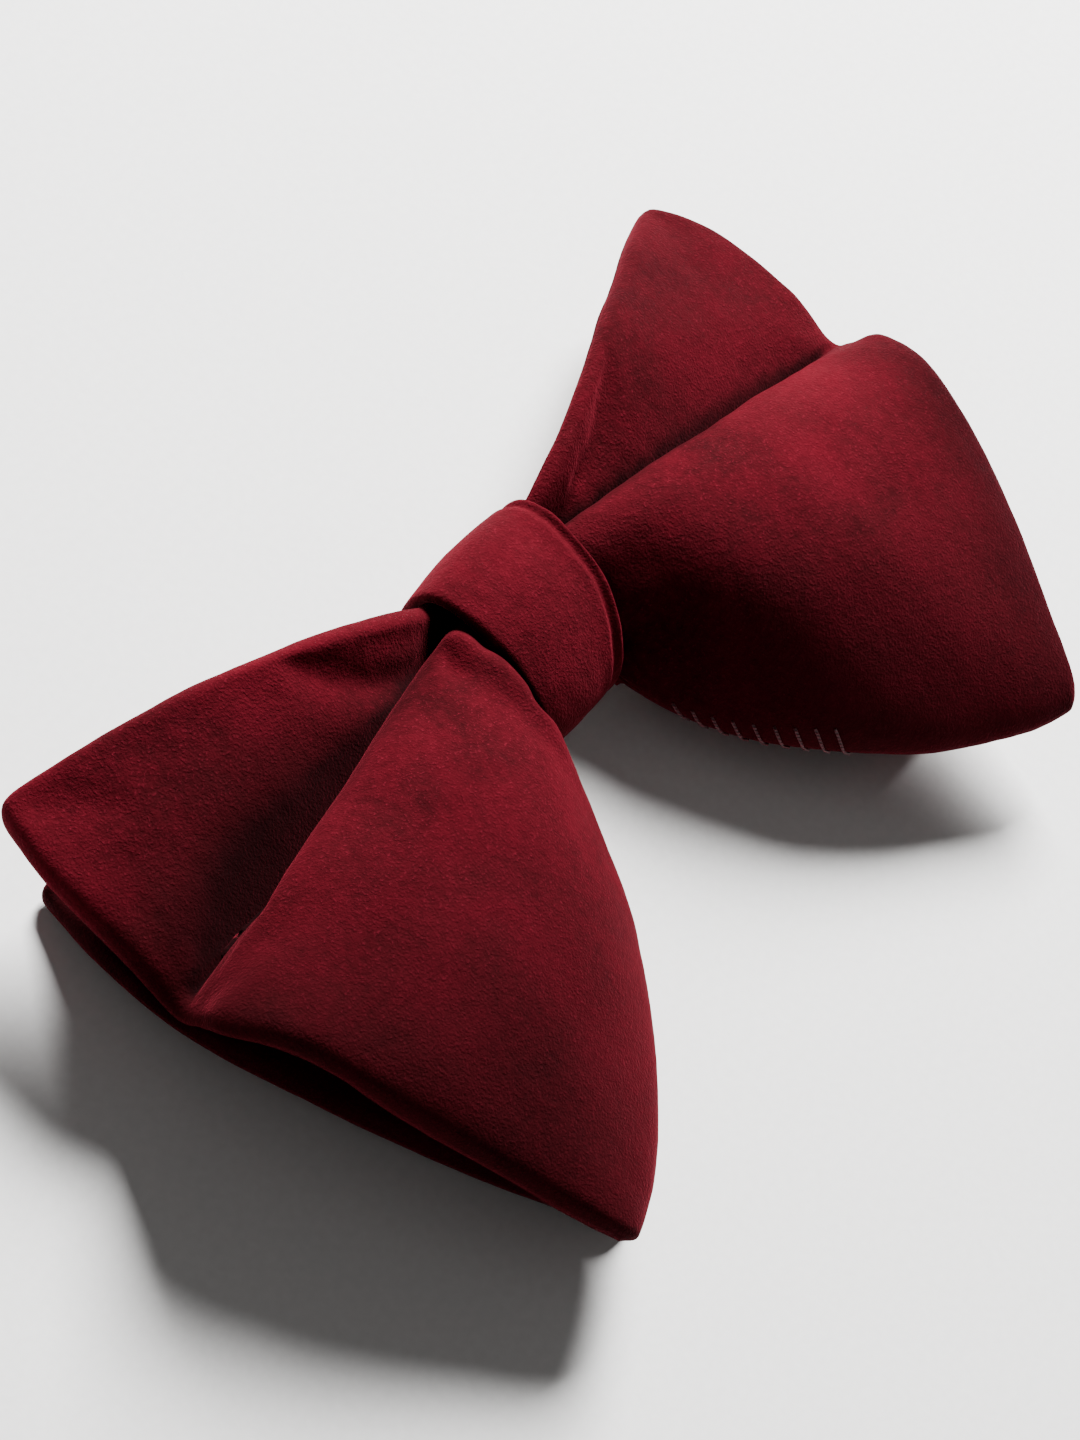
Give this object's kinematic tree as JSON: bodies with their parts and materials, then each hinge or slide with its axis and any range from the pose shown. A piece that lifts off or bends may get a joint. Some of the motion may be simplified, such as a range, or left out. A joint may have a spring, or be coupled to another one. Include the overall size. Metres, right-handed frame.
{
  "type": "bow tie",
  "caption": "Pre-tied velvet butterfly bow tie: front and rear padded leaves gathered in a pleat under a wrapped knot, with a sprung double clip behind the knot that grips a shirt collar.",
  "frame": {"origin": "centre of the bow's bounding box on the table it lies on, which is the lowest points of the rear leaf's corners", "axes": "+X along the span to the right wing, +Y up as worn, +Z out of the front of the bow"},
  "size_m": [0.1462, 0.0824, 0.0243],
  "materials": {
    "velvet": "deep pile velvet, burgundy, crushed in places",
    "canvas": "plain woven interlining",
    "sewing_thread": "twisted polyester thread, dark burgundy",
    "nickel_sheet": "nickel-plated sheet steel",
    "steel_wire": "spring steel wire"
  },
  "bodies": {
    "bow": {"front_leaf_face": "velvet", "front_leaf_interlining": "canvas", "front_leaf_backing": "velvet", "back_leaf_face": "velvet", "back_leaf_interlining": "canvas", "back_leaf_backing": "velvet", "waist_binding": "sewing_thread", "knot_band": "velvet", "knot_band_interlining": "canvas", "knot_seam_stitches": "sewing_thread", "edge_closing_stitches": "sewing_thread", "clip_stitches": "sewing_thread", "clip_base": "nickel_sheet", "left_hinge_pin": "steel_wire", "right_hinge_pin": "steel_wire", "left_spring": "steel_wire", "right_spring": "steel_wire"},
    "left_lever": {"left_jaw": "nickel_sheet", "left_spring_arm": "steel_wire"},
    "right_lever": {"right_jaw": "nickel_sheet", "right_spring_arm": "steel_wire"}
  },
  "joints": [
    {"name": "right_jaw_hinge", "type": "hinge", "parent": "bow", "child": "right_lever", "pos_m": [0.008, 0.01345, 0.0036], "axis": [0, 1, 0], "range_deg": [0, 14], "stiffness_Nm_per_rad": 0.02, "springref_deg": -34.38},
    {"name": "left_jaw_hinge", "type": "hinge", "parent": "bow", "child": "left_lever", "pos_m": [-0.008, 0.01345, 0.0036], "axis": [0, -1, 0], "range_deg": [0, 14], "stiffness_Nm_per_rad": 0.02, "springref_deg": -34.38}
  ]
}
